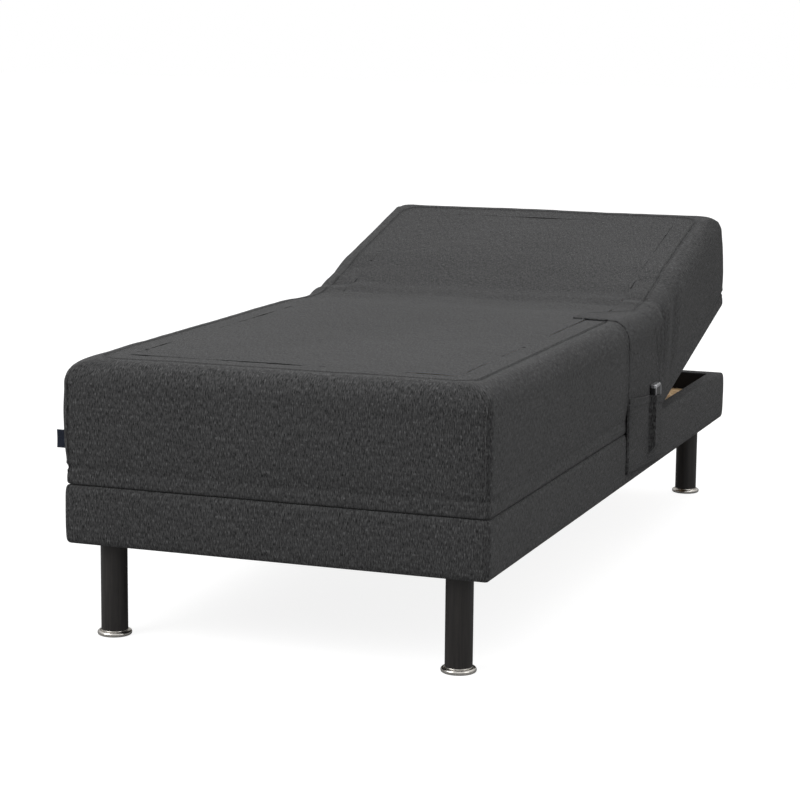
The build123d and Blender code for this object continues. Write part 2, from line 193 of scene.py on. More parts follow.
def lengths(p, closed=True):
    q = np.vstack([p, p[:1]]) if closed else p
    return np.r_[0, np.cumsum(np.linalg.norm(np.diff(q, axis=0), axis=1))]


# ------------------------------------------------------------------ bending between bodies
def turn_x(p, ang, y=HY, z=HZ):
    """Points turned about the X line through (y, z); positive lifts +Y."""
    dy, dz = p[:, 1] - y, p[:, 2] - z
    c, s = np.cos(ang), np.sin(ang)
    return np.c_[p[:, 0], y + dy * c - dz * s, z + dy * s + dz * c]


def to_rest(p, share):
    """From the flat pose to the stored one, for a piece that blends by share(rest point)."""
    lo, hi = np.zeros(len(p)), np.ones(len(p))
    for _ in range(40):
        mid = (lo + hi) / 2
        t = np.clip(share(turn_x(p, REST * mid)), 0, 1)
        low = mid < t * t * (3 - 2 * t)
        lo, hi = np.where(low, mid, lo), np.where(low, hi, mid)
    return turn_x(p, REST * (lo + hi) / 2)


def share_body(r):
    return (r[:, 1] - A0) / (A1 - A0)


CS, CE = Vector((0, 0.036, 0.572)), Vector((0, 0.1764, 0.7967))


def share_caddy(r):
    d = np.array(CE - CS)
    return ((r - np.array(CS)) @ d) / (d @ d)


# ------------------------------------------------------------------ materials
class Nodes:
    """Small helper to write node trees."""

    def __init__(self, name):
        self.mat = bpy.data.materials.new(name)
        self.mat.use_nodes = True
        self.t = self.mat.node_tree
        self.b = self.t.nodes["Principled BSDF"]

    def add(self, kind, **props):
        n = self.t.nodes.new(kind)
        for k, v in props.items():
            setattr(n, k, v)
        return n

    def to(self, a, b):
        self.t.links.new(a, b)

    def put(self, socket, value):
        if isinstance(value, bpy.types.NodeSocket):
            self.to(value, socket)
        else:
            socket.default_value = value

    def math(self, op, a, b=0.0, c=0.0, clamp=False):
        n = self.add("ShaderNodeMath", operation=op, use_clamp=clamp)
        for s, v in zip(n.inputs, (a, b, c)):
            self.put(s, v)
        return n.outputs[0]

    def uv(self):
        return self.add("ShaderNodeUVMap", uv_map="UVMap").outputs[0]

    def obj(self):
        return self.add("ShaderNodeTexCoord").outputs["Object"]

    def scaled(self, vec, s, rot=(0, 0, 0), loc=(0, 0, 0)):
        n = self.add("ShaderNodeMapping")
        self.to(vec, n.inputs["Vector"])
        n.inputs["Scale"].default_value = s
        n.inputs["Rotation"].default_value = rot
        n.inputs["Location"].default_value = loc
        return n.outputs[0]

    def noise(self, vec, scale=1.0, detail=2.0, rough=0.5, distort=0.0):
        n = self.add("ShaderNodeTexNoise")
        self.to(vec, n.inputs["Vector"])
        n.inputs["Scale"].default_value = scale
        n.inputs["Detail"].default_value = detail
        n.inputs["Roughness"].default_value = rough
        n.inputs["Distortion"].default_value = distort
        return n.outputs[0]

    def span(self, v, a, b, c=0.0, d=1.0):
        n = self.add("ShaderNodeMapRange")
        for s, x in zip(n.inputs, (v, a, b, c, d)):
            self.put(s, x)
        return n.outputs[0]

    def mix(self, f, a, b, mode="MIX"):
        n = self.add("ShaderNodeMix", data_type="RGBA", blend_type=mode)
        self.put(n.inputs[0], f)
        for s, v in ((n.inputs[6], a), (n.inputs[7], b)):
            self.put(s, v if isinstance(v, bpy.types.NodeSocket) else (*v, 1.0))
        return n.outputs[2]

    def bump(self, h, distance, strength=1.0, normal=None):
        n = self.add("ShaderNodeBump")
        n.inputs["Strength"].default_value = strength
        n.inputs["Distance"].default_value = distance
        self.to(h, n.inputs["Height"])
        if normal is not None:
            self.to(normal, n.inputs["Normal"])
        return n.outputs[0]

    def set(self, **kw):
        for k, v in kw.items():
            self.put(self.b.inputs[k.replace("_", " ")], v)

    def done(self, colour, rough, normal=None):
        self.put(self.b.inputs["Base Color"], colour if isinstance(colour, bpy.types.NodeSocket) else (*colour, 1))
        self.put(self.b.inputs["Roughness"], rough)
        if normal is not None:
            self.to(normal, self.b.inputs["Normal"])
        return self.mat


def fabric(name, dark, light, pitch=0.0017, gain=1.0, sheen=0.10):
    """Woven melange cloth: short threads of two tones along v, weave bump."""
    n = Nodes(name)
    uv, ob = n.uv(), n.obj()
    s1 = n.noise(n.scaled(uv, (820, 130, 1)), 1.0, 2.0, 0.6)
    s2 = n.noise(n.scaled(uv, (520, 60, 1), loc=(3, 5, 0)), 1.0, 2.0, 0.6)
    s3 = n.noise(n.scaled(uv, (1000, 700, 1), loc=(9, 2, 0)), 1.0, 1.0, 0.5)
    s4 = n.noise(n.scaled(uv, (110, 150, 1), loc=(5, 12, 0)), 1.0, 2.0, 0.6)
    big = n.noise(n.scaled(ob, (2.2, 2.2, 2.2)), 1.0, 2.0, 0.5)
    f = n.math("ADD", n.span(s1, 0.38, 0.62, 0, 0.50), n.span(s2, 0.39, 0.61, -0.02, 0.38))
    f = n.math("ADD", f, n.span(s4, 0.38, 0.62, -0.02, 0.15))
    f = n.math("MULTIPLY_ADD", f, 1.0, n.span(big, 0.3, 0.7, -0.05, 0.05), clamp=True)
    col = n.mix(f, dark, light)
    # flecks of a pale thread
    fl = n.noise(n.scaled(uv, (520, 100, 1), loc=(21, 17, 0)), 1.0, 0.0, 0.5)
    fl = n.span(fl, 0.66, 0.74, 0.0, 0.45)
    col = n.mix(fl, col, tuple(min(1.0, 1.9 * c) for c in light))
    # weave
    sep = n.add("ShaderNodeSeparateXYZ")
    n.to(uv, sep.inputs[0])
    k = 2 * math.pi / pitch
    su = n.math("SINE", n.math("MULTIPLY", sep.outputs[0], k))
    sv = n.math("SINE", n.math("MULTIPLY", sep.outputs[1], k * 0.8))
    w = n.math("MULTIPLY", su, sv)
    h = n.math("ADD", n.math("MULTIPLY", w, 0.30), n.math("ADD", n.math("MULTIPLY", s1, 1.2), n.math("MULTIPLY", s3, 0.8)))
    nm = n.bump(h, 0.0007, 0.8 * gain)
    n.set(Sheen_Weight=sheen, Sheen_Roughness=0.45, Sheen_Tint=(0.85, 0.85, 0.86, 1), Specular_IOR_Level=0.20)
    return n.done(col, n.span(s2, 0.3, 0.7, 0.86, 0.97), nm)


def lining(name):
    """Thin non-woven underlining: pressed random fibres."""
    n = Nodes(name)
    ob = n.obj()
    a = n.noise(n.scaled(ob, (500, 500, 500)), 1.0, 3.0, 0.6, 0.6)
    b = n.noise(n.scaled(ob, (14, 14, 14)), 1.0, 2.0)
    col = n.mix(n.span(a, 0.35, 0.7), (0.008, 0.008, 0.009), (0.030, 0.030, 0.032))
    col = n.mix(n.span(b, 0.3, 0.7, 0, 0.35), col, (0.014, 0.014, 0.015))
    n.set(Specular_IOR_Level=0.25)
    return n.done(col, n.span(a, 0.3, 0.7, 0.75, 0.95), n.bump(a, 0.0004, 0.6))


def wood(name, c0, c1, c2, along, ring_scale=28.0, rough=(0.42, 0.6), depth=0.0004, coat=0.0):
    """Solid timber with grain running along one axis."""
    n = Nodes(name)
    ob = n.obj()
    s = [ring_scale * 7] * 3
    s["xyz".index(along)] = ring_scale * 0.22
    g1 = n.noise(n.scaled(ob, tuple(s)), 1.0, 4.0, 0.62, 0.8)
    s = [ring_scale * 1.4] * 3
    s["xyz".index(along)] = ring_scale * 0.05
    g2 = n.noise(n.scaled(ob, tuple(s), loc=(4, 8, 1)), 1.0, 2.0, 0.5, 1.4)
    s = [ring_scale * 22] * 3
    s["xyz".index(along)] = ring_scale * 0.9
    g3 = n.noise(n.scaled(ob, tuple(s), loc=(1, 3, 6)), 1.0, 2.0, 0.5)
    col = n.mix(n.span(g2, 0.3, 0.72), c0, c1)
    col = n.mix(n.span(g1, 0.42, 0.72, 0, 0.75), col, c2)
    col = n.mix(n.span(g3, 0.60, 0.72, 0, 0.55), col, tuple(0.45 * c for c in c0))
    h = n.math("SUBTRACT", n.math("MULTIPLY", g1, 0.7), n.span(g3, 0.58, 0.72, 0, 0.8))
    n.set(Coat_Weight=coat, Coat_Roughness=0.35)
    return n.done(col, n.span(g1, 0.3, 0.7, rough[0], rough[1]), n.bump(h, depth, 0.7))


def flakeboard(name):
    """Light particle board: pressed chips in several tones, some dark."""
    n = Nodes(name)
    ob = n.obj()
    v = n.add("ShaderNodeTexVoronoi", feature="F1")
    n.to(n.scaled(ob, (120, 60, 200), rot=(0, 0, 0.5)), v.inputs["Vector"])
    v.inputs["Scale"].default_value = 1.0
    v2 = n.add("ShaderNodeTexVoronoi", feature="F1")
    n.to(n.scaled(ob, (45, 110, 160), rot=(0, 0, -0.4)), v2.inputs["Vector"])
    v2.inputs["Scale"].default_value = 1.0
    sa = n.add("ShaderNodeSeparateColor"); n.to(v.outputs["Color"], sa.inputs[0])
    sb = n.add("ShaderNodeSeparateColor"); n.to(v2.outputs["Color"], sb.inputs[0])
    big = n.noise(n.scaled(ob, (9, 9, 9)), 1.0, 3.0, 0.6)
    col = n.mix(sa.outputs[0], (0.56, 0.32, 0.14), (0.84, 0.58, 0.32))
    col = n.mix(n.span(sb.outputs[1], 0.55, 0.9, 0, 0.75), col, (0.66, 0.42, 0.20))
    col = n.mix(n.span(sb.outputs[0], 0.86, 0.92, 0, 0.8), col, (0.22, 0.12, 0.055))
    col = n.mix(n.span(big, 0.35, 0.7, 0, 0.3), col, (0.72, 0.55, 0.36))
    n.set(Specular_IOR_Level=0.3)
    return n.done(col, n.span(sa.outputs[1], 0, 1, 0.55, 0.8), n.bump(sa.outputs[2], 0.0003, 0.5))


def metal(name, colour, rough, brushed=None, spots=0.0):
    n = Nodes(name)
    ob = n.obj()
    s = (300, 300, 300) if brushed is None else tuple(40 if a == brushed else 1400 for a in "xyz")
    a = n.noise(n.scaled(ob, s), 1.0, 2.0, 0.55)
    b = n.noise(n.scaled(ob, (60, 60, 60)), 1.0, 3.0, 0.6)
    c0 = tuple(0.78 * c for c in colour)
    col = n.mix(n.span(a, 0.3, 0.7), c0, colour)
    col = n.mix(n.span(b, 0.55, 0.8, 0, spots), col, tuple(0.5 * c for c in colour))
    n.set(Metallic=1.0)
    r = n.math("ADD", n.span(a, 0.3, 0.7, rough * 0.7, rough * 1.2), n.span(b, 0.4, 0.8, 0, 0.12))
    return n.done(col, r, n.bump(a, 0.00008, 0.35))


def plastic(name, colour, rough=0.5, grain=700.0, depth=0.00012, var=0.25, spec=0.5):
    n = Nodes(name)
    ob = n.obj()
    a = n.noise(n.scaled(ob, (grain,) * 3), 1.0, 2.0, 0.55)
    b = n.noise(n.scaled(ob, (12, 12, 12)), 1.0, 3.0, 0.6)
    col = n.mix(n.span(b, 0.3, 0.7), tuple(c * (1 - var) for c in colour), tuple(min(1, c * (1 + var)) for c in colour))
    n.set(Specular_IOR_Level=spec)
    return n.done(col, n.span(a, 0.3, 0.7, rough * 0.85, min(1, rough * 1.2)), n.bump(a, depth, 0.6))


def foam(name, colour):
    n = Nodes(name)
    ob = n.obj()
    a = n.noise(n.scaled(ob, (380,) * 3), 1.0, 3.0, 0.7)
    return n.done(n.mix(n.span(a, 0.3, 0.7), tuple(0.7 * c for c in colour), colour), 0.95, n.bump(a, 0.001, 0.8))


M_CLOTH = fabric("charcoal_cloth", (0.0030, 0.0030, 0.0031), (0.096, 0.096, 0.097))
M_TOP = fabric("charcoal_top_cloth", (0.0035, 0.0035, 0.0036), (0.088, 0.088, 0.089), 0.0015, 0.8)
M_CADDY = fabric("charcoal_pocket_cloth", (0.0030, 0.0030, 0.0031), (0.092, 0.092, 0.093))
M_THREAD = plastic("sewing_thread", (0.060, 0.060, 0.061), 0.7, 1500.0, 0.0002)
M_LINING = lining("black_lining")
M_LABEL = fabric("label_weave", (0.010, 0.013, 0.022), (0.020, 0.025, 0.040), 0.0009, 0.6, 0.1)
M_GLIDE = metal("satin_nickel", (0.80, 0.77, 0.72), 0.20, None, 0.12)
M_SILVER = metal("painted_silver", (0.66, 0.66, 0.68), 0.33)

SLOT_MATS = {
    "timber": wood("spruce", (0.62, 0.45, 0.27), (0.74, 0.57, 0.37), (0.50, 0.33, 0.17), "x"),
    "board": flakeboard("light_board"),
    "leg_wood": wood("black_stained_wood", (0.0110, 0.0100, 0.0096), (0.0220, 0.0195, 0.0182), (0.036, 0.0310, 0.0285), "z", 30.0, (0.34, 0.50), 0.0003),
    "nickel": M_GLIDE,
    "steel": metal("powder_steel", (0.10, 0.10, 0.105), 0.45),
    "zinc": metal("zinc_plate", (0.62, 0.63, 0.62), 0.30, None, 0.3),
    "nylon": plastic("black_nylon", (0.018, 0.018, 0.018), 0.42),
    "drive_plastic": plastic("black_abs", (0.016, 0.016, 0.017), 0.48),
    "foam": foam("grey_foam", (0.35, 0.35, 0.36)),
    "spring": foam("core_felt", (0.50, 0.50, 0.48)),
    "handset_plastic": plastic("handset_black", (0.012, 0.012, 0.013), 0.34, 1200.0, 0.00005),
    "handset_silver": M_SILVER,
    "button_plastic": plastic("key_grey", (0.22, 0.22, 0.23), 0.5),
    "label": M_LABEL,
    "lining": M_LINING,
    "upholstery": M_CLOTH,
}
timber_y = wood("spruce_long", (0.62, 0.45, 0.27), (0.74, 0.57, 0.37), (0.50, 0.33, 0.17), "y")
for nm, o in nodes.items():
    for k, m in enumerate(list(o.data.materials)):
        base = m.name.split(".")[0] if m else ""
        if base in SLOT_MATS:
            o.data.materials[k] = SLOT_MATS[base]
for nm in ("side_rails", "panel_ledgers"):
    nodes[nm].data.materials[0] = timber_y

# ------------------------------------------------------------------ the body cover, drawn flat
xs = np.linspace(-XC, XC, 82)
ys = np.r_[np.linspace(-YC, CUT_B, 76)[:-1], np.linspace(CUT_B, CUT_A, 36)[:-1], np.linspace(CUT_A, YC, 108)]
NC = 46
SEAM_X = 0.4425                   # upright corner seam, from the middle


def corner_r(d):
    return 0.010 + 0.035 * float(smooth(0.0, 0.04, np.array(d)))


def side_profile():
    """(inset, height) from the turned-in lower edge up to the top seam."""
    p = [(0.0085, 0.3184), (0.0058, 0.3178), (0.0034, 0.3183), (0.0017, 0.3196), (0.0008, 0.3218), (0.0004, 0.3250),
         (0.0003, 0.3290), (0.0003, 0.3330), (0.0005, 0.3370), (0.0009, 0.3405), (0.0014, 0.3435), (0.0018, 0.3465), (0.0018, 0.3495),
         (0.0014, 0.3525), (0.0008, 0.3560), (0.0000, 0.3610), (-0.0006, 0.3670), (-0.0011, 0.3750)]
    for z in np.arange(0.383, 0.5165, 0.0085):
        p.append((-0.0011 - 0.0024 * math.sin(math.pi * (z - 0.375) / 0.160) ** 0.9, z))
    d0 = p[-1][0]
    zc, n = 0.522, 15
    for i in range(n + 1):
        a = math.radians(90 * i / n)
        p.append((0.040 - (0.040 - d0) * math.cos(a) ** 0.92, zc + (Z_TOP - zc) * math.sin(a)))
    for d in (0.0440, 0.0465, 0.0482, 0.0494, 0.0502, 0.0510, 0.0522, 0.0540, 0.0570, 0.0620, 0.070, 0.080, 0.090, 0.100):
        p.append((d, Z_TOP))
    return p


prof = side_profile()
rows = [np.c_[ring(d, corner_r(d), xs, ys, NC), np.full(2 * len(xs) + 2 * len(ys) + 4 * NC, z)] for d, z in prof]
NR = len(rows[0])
verts = np.vstack(rows)
faces, ij = grid_faces(len(rows), NR, closed_m=True, flip=False)
ul = lengths(ring(0.0, 0.010, xs, ys, NC))
vl = np.r_[0, np.cumsum(np.hypot(np.diff([p[0] for p in prof]), np.diff([p[1] for p in prof])))]
inset = np.repeat([p[0] for p in prof], NR)
uv = [(ul[j], vl[i]) for q in ij for i, j in q]
index = [0 if prof[q[0][0]][0] < 0.0501 else 1 for q in ij]
for k, q in enumerate(ij):          # the top panel is one flat piece of cloth
    if index[k]:
        for c in range(4):
            i, j = q[c]
            p = rows[min(i, len(rows) - 1)][j % NR]
            uv[4 * k + c] = (p[0], p[1])
n0 = len(verts)
gx, gy = np.meshgrid(xs, ys, indexing="ij")
grid = np.c_[gx.ravel(), gy.ravel(), np.full(gx.size, Z_TOP)]
gf, gij = grid_faces(len(xs), len(ys))
verts = np.vstack([verts, grid])
inset = np.r_[inset, np.full(len(grid), 0.5)]
faces += [[n0 + a for a in f] for f in gf]
uv += [(xs[i], ys[j]) for q in gij for i, j in q]
index += [1] * len(gf)

# crown, then the quilting seam, still flat
top_w = smooth(0.5, Z_TOP, verts[:, 2])
crown = 0.0045 * (1 - (np.abs(verts[:, 0]) / 0.45) ** 4) * (1 - np.abs(verts[:, 1]) ** 8)
verts[:, 2] += crown * top_w
verts[:, 2] -= 0.0024 * bell(inset, 0.0502, 0.0011) * (inset < 0.4)
verts[:, 2] += 0.0006 * (bell(inset, 0.0465, 0.0016) + bell(inset, 0.0545, 0.003)) * (inset < 0.4)

# the lower edge turns sharply at the hinge with the deck; higher up the bend is wide
reach = 0.020 + (0.25 - 0.020) * smooth(0.316, 0.430, verts[:, 2])
rest = to_rest(verts, lambda r: (r[:, 1] - (HY - reach)) / (2 * reach))
body = make("cover_whole", rest, faces, [M_CLOTH, M_TOP], uv, index)
nrm = normals(body)
if nrm[n0 + len(grid) // 2][2] < 0:
    body.data.flip_normals()
    nrm = -nrm
co = coords(body)

side = smooth(0.6, 0.2, np.abs(nrm[:, 2])) * smooth(Z_PINCH - 0.002, 0.372, verts[:, 2])
up = smooth(0.55, 0.95, nrm[:, 2])
soft = np.maximum(side, smooth(0.372, 0.42, verts[:, 2]))
disp = 0.0011 * fbm(co, 5.0, 1) * soft + 0.00045 * fbm(co, 21.0, 2, 2) * soft
# long sides: the cover crowds where the back section bends
y, z = co[:, 1], co[:, 2]
env = smooth(0.36, 0.50, z) * (np.abs(co[:, 0]) > 0.36)
lean = (z - 0.45)
wob = 0.003 * fbm(np.c_[co[:, 0] * 0 + np.sign(co[:, 0]), y * 0, z], 9.0, 5, 2)
yy = y + wob
fold = (
    -1.10 * bell(yy, 0.286 + 0.05 * lean, 0.014)
    + 0.95 * bell(yy, 0.313 + 0.10 * lean, 0.010)
    - 0.60 * bell(yy, 0.350 + 0.15 * lean, 0.018)
    + 0.62 * bell(yy, 0.402 + 0.18 * lean, 0.015)
    - 0.35 * bell(yy, 0.446 + 0.30 * lean, 0.022)
    + 0.20 * bell(yy, 0.236, 0.02)
)
disp += 0.0056 * fold * env * np.clip(side + 0.55 * (1 - side) * (1 - up), 0, 1)
# the same folds die out across the top
xf = 0.35 + 0.65 * smooth(0.15, 0.44, np.abs(co[:, 0]))
tw = 0.012 * fbm(np.c_[co[:, 0], y * 0, y * 0], 4.0, 8, 2)
tf = (
    -0.8 * bell(y + tw, 0.270, 0.016) + 0.7 * bell(y + tw, 0.312, 0.018)
    - 0.5 * bell(y + tw, 0.352, 0.020) + 0.5 * bell(y + tw, 0.405, 0.026)
    + 0.25 * bell(y + tw, 0.215, 0.026)
)
disp += 0.0036 * tf * up * xf
disp += 0.0012 * fbm(co * np.array([1, 0.6, 1]), 7.0, 11, 2) * up
# gathers that wrap the lower corners, and fine pulls above the edge
cd = np.hypot(HW - np.minimum(np.abs(verts[:, 0]), HW), HL - np.minimum(np.abs(verts[:, 1]), HL))
near = smooth(0.15, 0.0, cd)
gz = verts[:, 2] + 0.004 * fbm(verts, 12.0, 21, 2)
gather = bell(gz, 0.3470, 0.0028) * -1.0 + bell(gz, 0.3545, 0.0034) * 0.9 - bell(gz, 0.3625, 0.0040) * 0.6 + bell(gz, 0.371, 0.006) * 0.4
disp += 0.0019 * near * gather
pk = fbm(np.c_[verts[:, 0] + verts[:, 1], verts[:, 0] - verts[:, 1], verts[:, 2] * 0.1], 24.0, 31, 2)
disp += 0.0006 * pk * bell(verts[:, 2], 0.350, 0.012)
# upright seams at the four corners, on the end faces
sx = np.abs(verts[:, 0]) + 0.0007 * np.sin(verts[:, 2] * 55)
endw = smooth(0.014, 0.008, HL - np.abs(verts[:, 1])) * smooth(0.56, 0.53, verts[:, 2])
disp += endw * (-0.0024 * bell(sx, SEAM_X, 0.0015) + 0.0011 * bell(sx, SEAM_X - 0.0042, 0.0028) + 0.0009 * bell(sx, SEAM_X + 0.0036, 0.0024))
# pulls that fan out of the four upper corners
ang = np.arctan2(HL - np.abs(verts[:, 1]), HW - np.abs(verts[:, 0]))
disp += 0.0010 * np.sin(ang * 9.0 + 3 * fbm(verts, 5.0, 33, 1)) * smooth(0.13, 0.03, cd) * smooth(0.50, 0.555, verts[:, 2]) * smooth(0.0, 0.02, cd)
# the pocket panel holds the side in
disp -= 0.0022 * (co[:, 0] > 0.40) * smooth(-0.03, 0.0, y) * smooth(0.30, 0.26, y) * smooth(0.36, 0.38, z) * (1 - up)
disp *= smooth(0.318, 0.334, verts[:, 2])
set_coords(body, co + nrm * disp[:, None])
merge(body, 2e-5)


def split(o, name, low, high):
    """The faces of o whose flat-pose middle lies between low and high."""
    new = o.copy()
    new.data = o.data.copy()
    new.name = new.data.name = name
    link(new)
    bm = bmesh.new()
    bm.from_mesh(new.data)
    gone = [f for f in bm.faces if not low < f.calc_center_median().y <= high]
    bmesh.ops.delete(bm, geom=gone, context="FACES")
    bm.to_mesh(new.data)
    bm.free()
    return new


cover_head = split(body, "body_cover_head", CUT_A, 9)
cover_mid = split(body, "body_cover_seat", CUT_B, CUT_A)
cover_foot = split(body, "body_cover_foot", -9, CUT_B)
bpy.data.objects.remove(body)


# ------------------------------------------------------------------ stitches
def stitches(name, pts, nrms, pitch=0.0062, size=0.0044, rad=0.00060, lift=0.00025, mat=None):
    """Rows of sewn thread along lines of points, with the surface normal at each."""
    V, F = [], []
    k, m = 6, 3
    for P, Nn in zip(pts, nrms):
        P, Nn = np.asarray(P, float), np.asarray(Nn, float)
        L = lengths(P, False)
        total = L[-1]
        cnt = int(total // pitch)
        for c in range(cnt):
            s = (c + 0.5) * total / cnt
            q = np.array([np.interp(s, L, P[:, a]) for a in range(3)])
            e = np.array([np.interp(min(s + 0.002, total), L, P[:, a]) for a in range(3)])
            b = np.array([np.interp(max(s - 0.002, 0), L, P[:, a]) for a in range(3)])
            nn = np.array([np.interp(s, L, Nn[:, a]) for a in range(3)])
            t = e - b
            t /= np.linalg.norm(t) + 1e-12
            nn -= t * (nn @ t)
            nn /= np.linalg.norm(nn) + 1e-12
            u = np.cross(t, nn)
            q = q + nn * lift
            base = len(V)
            V.append(q - t * size / 2 - nn * rad * 0.6)
            for a in (-0.36, 0.0, 0.36):
                rr = rad * (1.0 if abs(a) < 0.1 else 0.8)
                for g in range(k):
                    th = 2 * math.pi * g / k
                    V.append(q + t * a * size + nn * rr * math.cos(th) + u * rr * 1.15 * math.sin(th))
            V.append(q + t * size / 2 - nn * rad * 0.6)
            last = len(V) - 1
            for g in range(k):
                h = (g + 1) % k
                F.append([base, base + 1 + h, base + 1 + g])
                for r in range(m - 1):
                    o = base + 1 + r * k
                    F.append([o + g, o + h, o + k + h, o + k + g])
                F.append([last, base + 1 + (m - 1) * k + g, base + 1 + (m - 1) * k + h])
    o = make(name, V, F, [mat or M_THREAD])
    return recalc(o)


def seam_line(d):
    p = ring(d, corner_r(d), xs, ys, NC)
    z = Z_TOP + 0.0045 * (1 - (np.abs(p[:, 0]) / 0.45) ** 4) * (1 - np.abs(p[:, 1]) ** 8)
    return np.c_[p, z]


def seam_rows(low, high):
    """Two rows either side of the top seam, cut into runs that stay between low and high."""
    out = []
    for d in (0.0462, 0.0542):
        q = seam_line(d)
        q = np.vstack([q, q[:1]])
        q[:, 2] += 0.0005
        keep = (q[:, 1] > low) & (q[:, 1] <= high)
        run = []
        for a, k in zip(q, keep):
            if k:
                run.append(a)
            elif run:
                out.append(np.array(run)); run = []
        if run:
            out.append(np.array(run))
    return [r for r in out if len(r) > 3]


def cover_stitches(name, low, high):
    lines = seam_rows(low, high)
    up_n = [np.tile((0, 0, 1.0), (len(r), 1)) for r in lines]
    o = stitches(name, lines, up_n)
    q = to_rest(coords(o), share_body)
    w = smooth(A0, A1, q[:, 1])[:, None]
    # offset along the creases of the cover under them, scaled by zero: it moves nothing
    t = 0.0036 * (-0.8 * bell(q[:, 1], 0.270, 0.016) + 0.7 * bell(q[:, 1], 0.312, 0.018)) * 0.9
    q[:, 2] += t * 0.0
    set_coords(o, q)
    return o


st_head = cover_stitches("top_seam_stitches_head", CUT_A, 9)
st_mid = cover_stitches("top_seam_stitches_seat", CUT_B, CUT_A)
st_foot = cover_stitches("top_seam_stitches_foot", -9, CUT_B)


def settle(o, target, lift=0.0003):
    """Each stitch moved along Z so that it lies on the cover."""
    from mathutils.bvhtree import BVHTree
    dg = bpy.context.evaluated_depsgraph_get()
    tree = BVHTree.FromObject(target, dg)
    c = coords(o)
    n = 20
    for s in range(0, len(c), n):
        m = c[s:s + n].mean(0)
        hit = tree.ray_cast(Vector((m[0], m[1], m[2] + 0.03)), Vector((0, 0, -1)), 0.08)
        if hit[0] is not None:
            c[s:s + n, 2] += hit[0].z + lift - m[2]
    set_coords(o, c)


for st, cv in ((st_head, cover_head), (st_mid, cover_mid), (st_foot, cover_foot)):
    settle(st, cv)


def corner_seams(name, end, target):
    """Sewn thread down both upright seams of one end, laid on the cover."""
    from mathutils.bvhtree import BVHTree
    tree = BVHTree.FromObject(target, bpy.context.evaluated_depsgraph_get())
    ll, nn = [], []
    for sgn in (1, -1):
        for off in (-0.0052,):
            P = np.array([(sgn * (SEAM_X + off), end * (HL + 0.02), z) for z in np.linspace(0.335, 0.535, 70)])
            N = np.tile((0.0, float(end), 0.0), (len(P), 1))
            if end > 0:
                P, N = turn_x(P, REST), turn_x(N, REST, 0, 0)
            Q, M = [], []
            for a, d in zip(P, N):
                hit = tree.ray_cast(Vector(a), Vector(-d), 0.08)
                if hit[0] is not None:
                    Q.append(hit[0]); M.append(d)
            ll.append(np.array(Q)); nn.append(np.array(M))
    return stitches(name, ll, nn, size=0.0040, rad=0.00050)


cs_foot = corner_seams("corner_seam_stitches_foot", -1, cover_foot)
cs_head = corner_seams("corner_seam_stitches_head", 1, cover_head)

for o, nm_nodes in (
    (cover_head, ("back_cover", "back_spring_core", "back_bend_foam")),
    (cover_mid, ("seat_cover", "seat_spring_core", "thigh_bend_foam")),
    (cover_foot, ("thigh_cover", "calf_cover", "thigh_spring_core", "calf_spring_core")),
):
    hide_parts(*nm_nodes)
for o in (cover_head, st_head, cs_head):
    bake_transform(o)
for o in (cover_mid, st_mid):
    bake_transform(o)
for o in (cover_foot, st_foot, cs_foot):
    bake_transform(o)


# ------------------------------------------------------------------ edge bands of the four sections
BAND = [  # closed section, (inset, height): a board edge wrapped in the cloth, behind the cover's lower edge
    (0.0112, 0.3189), (0.0080, 0.3186), (0.0058, 0.3190), (0.0044, 0.3202), (0.0037, 0.3225), (0.0035, 0.3280),
    (0.0035, 0.3360), (0.0036, 0.3420), (0.0040, 0.3462), (0.0049, 0.3488), (0.0066, 0.3499), (0.0090, 0.3501), (0.0112, 0.3497),
]


def u_path(d, y_in, end):
    hx, hy, r = HW - d, HL - d, max(0.010 - d, 0.003)
    y0 = hy - r
    side_y = np.linspace(y_in, end * y0, 60)
    arc = np.radians(np.linspace(0, 90, 12)[1:-1])
    across = np.linspace(hx - r, -(hx - r), 90)
    right_c = np.c_[hx - r + r * np.cos(arc), end * (y0 + r * np.sin(arc))]
    left_c = np.c_[-right_c[::-1, 0], right_c[::-1, 1]]
    return np.vstack([
        np.c_[np.full(60, hx), side_y], right_c, np.c_[across, np.full(90, end * hy)],
        left_c, np.c_[np.full(60, -hx), side_y[::-1]],
    ])


def swept(name, paths, zs, mats, seed, amp=0.0004):
    """Closed section along an open path, with capped ends."""
    m, n = len(paths[0]), len(paths)
    V = np.vstack([np.c_[p, np.full(m, z)] for p, z in zip(paths, zs)])
    F, q = grid_faces(n, m, closed_n=True)
    ulen = lengths(paths[0], False)
    vlen = np.r_[0, np.cumsum([math.hypot(BAND[(i + 1) % n][0] - BAND[i][0], BAND[(i + 1) % n][1] - BAND[i][1]) for i in range(n)])]
    uvs = [(ulen[j], vlen[i]) for k in q for i, j in k]
    F.append([i * m for i in range(n)]); uvs += [(0.001 * i, 0) for i in range(n)]
    F.append([i * m + m - 1 for i in range(n)][::-1]); uvs += [(0.001 * i, 0) for i in range(n)]
    o = recalc(make(name, V, F, mats, uvs))
    c, nn = coords(o), normals(o)
    a = fbm(c, 9.0, seed, 2) * amp * smooth(0.3180, 0.3215, c[:, 2]) * smooth(0.0100, 0.006, HW - np.minimum(np.abs(c[:, 0]), HW) if name.endswith("side") else np.minimum(HW - np.abs(c[:, 0]), HL - np.abs(c[:, 1])))
    set_coords(o, c + nn * a[:, None])
    return o


